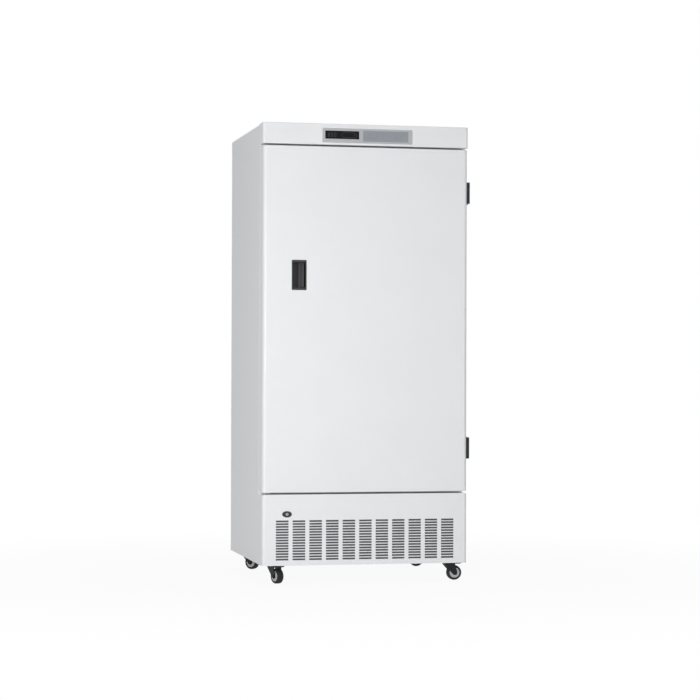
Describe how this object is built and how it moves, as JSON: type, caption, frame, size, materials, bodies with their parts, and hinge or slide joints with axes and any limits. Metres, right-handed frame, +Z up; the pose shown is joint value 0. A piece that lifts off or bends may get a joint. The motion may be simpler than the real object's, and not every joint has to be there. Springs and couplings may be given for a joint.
{
  "type": "laboratory freezer",
  "caption": "Upright white laboratory freezer with one hinged door, recessed handle, header control panel, lower ventilation grille and swivel casters.",
  "frame": {"origin": "on the floor below the middle of the cabinet; the hinges stand out at the right, so the whole box's middle lies 8 mm to the right of it", "axes": "+X to the viewer's right along the front, the front with the door faces -Y, +Z up"},
  "size_m": [0.7205, 0.6461, 1.53],
  "materials": {
    "cabinet_paint": "smooth satin paint",
    "zinc_sheet": "matte zinc-grey sheet",
    "foam": "matte rigid foam",
    "liner_plastic": "smooth formed sheet",
    "gasket_rubber": "soft matte",
    "bezel_plastic": "silver-grey satin",
    "display_plastic": "glossy black",
    "keypad_film": "satin grey film",
    "circuit_board": "matte green laminate",
    "handle_plastic": "matte black",
    "hinge_paint": "satin black",
    "barrel_metal": "turned steel",
    "caster_steel": "satin black",
    "pedal_plastic": "matte black",
    "tread": "matte dark grey",
    "hub_plastic": "matte light grey",
    "shelf_coating": "white coating",
    "evaporator_metal": "satin",
    "sensor_plastic": "matte white",
    "compressor_paint": "gloss black paint",
    "foot_rubber": "matte black",
    "condenser_fins": "plain fin stock",
    "fan_plastic": "matte dark grey",
    "motor_metal": "cast, satin",
    "pipe_copper": "dull copper",
    "screw_steel": "plated"
  },
  "bodies": {
    "cabinet": {"outer_shell": "cabinet_paint", "header_cover": "cabinet_paint", "grille_panel": "cabinet_paint", "back_panel": "zinc_sheet", "rear_cover": "zinc_sheet", "base_pan": "zinc_sheet", "divider_panel": "zinc_sheet", "cabinet_foam": "foam", "inner_liner": "liner_plastic", "breaker_strip": "liner_plastic", "panel_bezel": "bezel_plastic", "display_window": "display_plastic", "keypad_sheet": "keypad_film", "control_board": "circuit_board", "switch_body": "handle_plastic", "power_inlet": "handle_plastic", "hinge_upper_frame": "hinge_paint", "hinge_lower_frame": "hinge_paint", "caster_plates": "caster_steel", "shelf_1": "shelf_coating", "shelf_2": "shelf_coating", "shelf_3": "shelf_coating", "shelf_4": "shelf_coating", "evaporator": "evaporator_metal", "temperature_sensor": "sensor_plastic", "compressor": "compressor_paint", "compressor_feet": "foot_rubber", "condenser": "condenser_fins", "fan_shroud": "fan_plastic", "drip_tray": "fan_plastic", "fan_motor": "motor_metal", "discharge_pipe": "pipe_copper", "panel_screws": "screw_steel"},
    "door": {"door_skin": "cabinet_paint", "door_foam": "foam", "door_liner": "liner_plastic", "door_gasket": "gasket_rubber", "handle_pocket": "handle_plastic", "handle_grip": "handle_plastic", "hinge_upper_door": "hinge_paint", "hinge_lower_door": "hinge_paint"},
    "key_barrel": {"key_barrel": "barrel_metal"},
    "panel_key_1": {"panel_key_1": "keypad_film"},
    "panel_key_2": {"panel_key_2": "keypad_film"},
    "panel_key_3": {"panel_key_3": "keypad_film"},
    "fan": {"fan_blades": "fan_plastic"},
    "caster_front_left": {"fork_front_left": "caster_steel"},
    "wheel_front_left": {"tyre_front_left": "tread", "hub_front_left": "hub_plastic"},
    "pedal_front_left": {"brake_pedal_front_left": "pedal_plastic"},
    "caster_front_right": {"fork_front_right": "caster_steel"},
    "wheel_front_right": {"tyre_front_right": "tread", "hub_front_right": "hub_plastic"},
    "pedal_front_right": {"brake_pedal_front_right": "pedal_plastic"},
    "caster_rear_left": {"fork_rear_left": "caster_steel"},
    "wheel_rear_left": {"tyre_rear_left": "tread", "hub_rear_left": "hub_plastic"},
    "caster_rear_right": {"fork_rear_right": "caster_steel"},
    "wheel_rear_right": {"tyre_rear_right": "tread", "hub_rear_right": "hub_plastic"}
  },
  "joints": [
    {"name": "door_hinge", "type": "hinge", "parent": "cabinet", "child": "door", "pos_m": [0.363, -0.2585, 0.8785], "axis": [0, 0, 1], "range_deg": [0, 160]},
    {"name": "key_turn", "type": "hinge", "parent": "cabinet", "child": "key_barrel", "pos_m": [-0.2665, -0.31, 0.232], "axis": [0, -1, 0], "range_deg": [0, 90]},
    {"name": "panel_key_1_press", "type": "slide", "parent": "cabinet", "child": "panel_key_1", "axis": [0, 1, 0], "range_m": [0, 0.0006], "stiffness_N_per_m": 400, "springref_m": -0.0005},
    {"name": "panel_key_2_press", "type": "slide", "parent": "cabinet", "child": "panel_key_2", "axis": [0, 1, 0], "range_m": [0, 0.0006], "stiffness_N_per_m": 400, "springref_m": -0.0005},
    {"name": "panel_key_3_press", "type": "slide", "parent": "cabinet", "child": "panel_key_3", "axis": [0, 1, 0], "range_m": [0, 0.0006], "stiffness_N_per_m": 400, "springref_m": -0.0005},
    {"name": "fan_spin", "type": "hinge", "parent": "cabinet", "child": "fan", "pos_m": [-0.105, -0.137, 0.1665], "axis": [0, -1, 0], "continuous": true},
    {"name": "swivel_front_left", "type": "hinge", "parent": "cabinet", "child": "caster_front_left", "pos_m": [-0.3, -0.265, 0.06], "axis": [0, 0, 1], "continuous": true},
    {"name": "wheel_front_left", "type": "hinge", "parent": "caster_front_left", "child": "wheel_front_left", "pos_m": [-0.29219, -0.28341, 0.025], "axis": [0.9205, 0.3907, 0], "continuous": true},
    {"name": "pedal_front_left", "type": "hinge", "parent": "caster_front_left", "child": "pedal_front_left", "pos_m": [-0.29375, -0.27973, 0.0562], "axis": [0.9205, 0.3907, 0], "range_deg": [0, 15]},
    {"name": "swivel_front_right", "type": "hinge", "parent": "cabinet", "child": "caster_front_right", "pos_m": [0.3, -0.265, 0.06], "axis": [0, 0, 1], "continuous": true},
    {"name": "wheel_front_right", "type": "hinge", "parent": "caster_front_right", "child": "wheel_front_right", "pos_m": [0.32, -0.265, 0.025], "axis": [0, 1, 0], "continuous": true},
    {"name": "pedal_front_right", "type": "hinge", "parent": "caster_front_right", "child": "pedal_front_right", "pos_m": [0.316, -0.265, 0.0562], "axis": [0, 1, 0], "range_deg": [0, 15]},
    {"name": "swivel_rear_left", "type": "hinge", "parent": "cabinet", "child": "caster_rear_left", "pos_m": [-0.3, 0.25, 0.06], "axis": [0, 0, 1], "continuous": true},
    {"name": "wheel_rear_left", "type": "hinge", "parent": "caster_rear_left", "child": "wheel_rear_left", "pos_m": [-0.28586, 0.23586, 0.025], "axis": [0.7071, 0.7071, 0], "continuous": true},
    {"name": "swivel_rear_right", "type": "hinge", "parent": "cabinet", "child": "caster_rear_right", "pos_m": [0.3, 0.25, 0.06], "axis": [0, 0, 1], "continuous": true},
    {"name": "wheel_rear_right", "type": "hinge", "parent": "caster_rear_right", "child": "wheel_rear_right", "pos_m": [0.31732, 0.24, 0.025], "axis": [0.5, 0.866, 0], "continuous": true}
  ]
}
